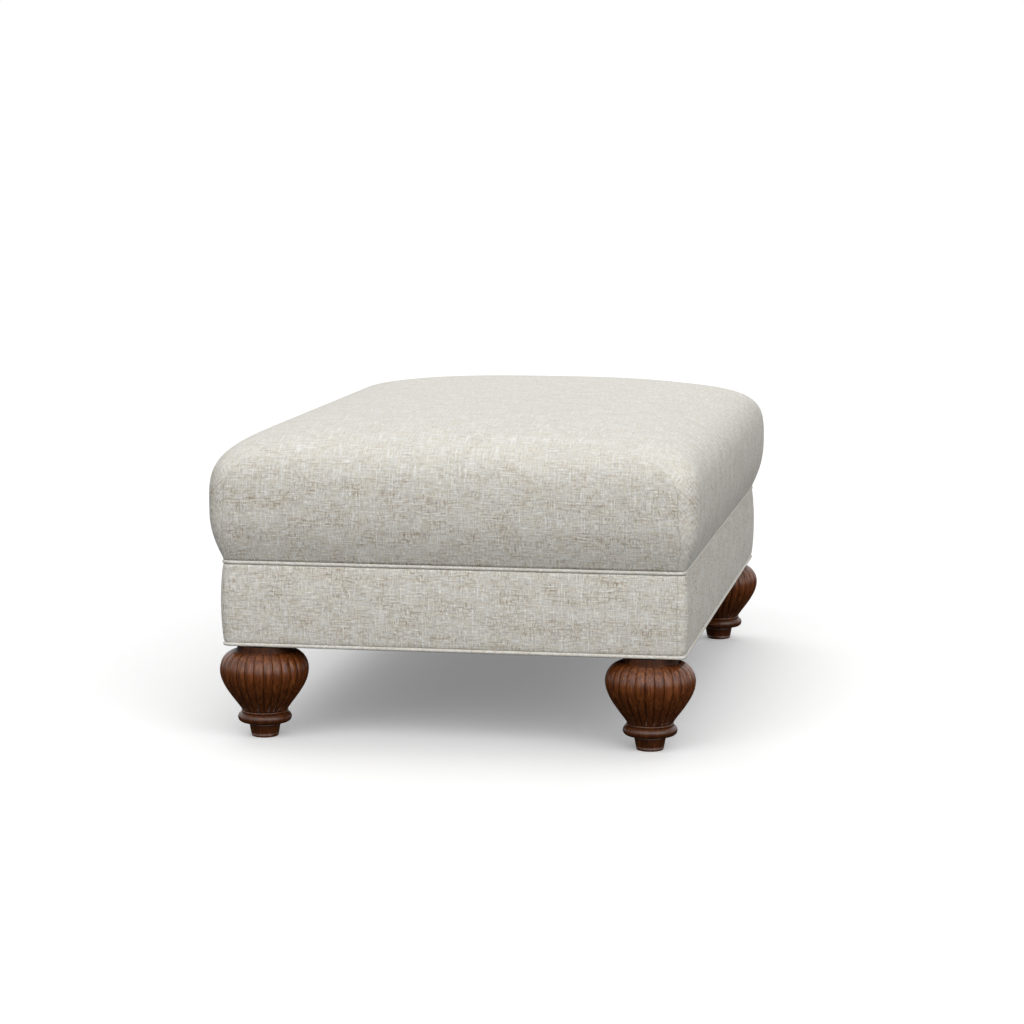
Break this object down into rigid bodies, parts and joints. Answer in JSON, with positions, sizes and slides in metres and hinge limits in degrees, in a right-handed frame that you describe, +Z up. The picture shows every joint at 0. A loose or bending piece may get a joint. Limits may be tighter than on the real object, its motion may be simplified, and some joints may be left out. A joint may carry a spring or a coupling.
{
  "type": "upholstered footstool",
  "caption": "Rectangular upholstered footstool with a tight crowned seat, a piped straight band and turned, reeded bun feet in dark stained wood.",
  "frame": {"origin": "On the floor, under the middle of the stool's footprint.", "axes": "+Z up; the long side runs along Y, with the short side shown in the picture at -Y; +X to the right seen from that side."},
  "size_m": [0.659, 0.9836, 0.4305],
  "materials": {
    "upholstery_fabric": "woven linen-type slub weave, off-white with brown flecks",
    "cotton_cord": "twisted cotton piping cord",
    "polyester_wadding": "fluffy bonded polyester wadding",
    "seat_foam": "open-cell polyurethane foam",
    "insulator_cloth": "woven spring insulator cloth",
    "black_cambric": "non-woven black cambric",
    "stained_wood": "turned hardwood, dark walnut stain, satin lacquer",
    "frame_wood": "planed hardwood, unfinished",
    "dowel_wood": "beech dowel, unfinished",
    "zinc_steel": "zinc plated",
    "spring_steel": "oil-tempered spring wire"
  },
  "bodies": {
    "root": {"foot_front_left": "stained_wood", "corner_block_front_left": "frame_wood", "foot_front_right": "stained_wood", "corner_block_front_right": "frame_wood", "front_rail": "frame_wood", "foot_rear_left": "stained_wood", "corner_block_rear_left": "frame_wood", "foot_rear_right": "stained_wood", "corner_block_rear_right": "frame_wood", "rear_rail": "frame_wood", "left_rail": "frame_wood", "right_rail": "frame_wood", "centre_cross_rail": "frame_wood", "rail_dowels": "dowel_wood", "hanger_bolts": "zinc_steel", "tee_nuts": "zinc_steel", "block_screws": "zinc_steel", "dust_cover_staples": "zinc_steel", "clip_nails": "zinc_steel", "sinuous_springs": "spring_steel", "spring_clips": "zinc_steel", "spring_insulator": "insulator_cloth", "seat_foam": "seat_foam", "fibre_wrap": "polyester_wadding", "band_wadding": "polyester_wadding", "cushion_cover": "upholstery_fabric", "band_cover": "upholstery_fabric", "bottom_welt": "upholstery_fabric", "top_welt": "upholstery_fabric", "bottom_welt_cord": "cotton_cord", "top_welt_cord": "cotton_cord", "dust_cover": "black_cambric"}
  },
  "joints": []
}
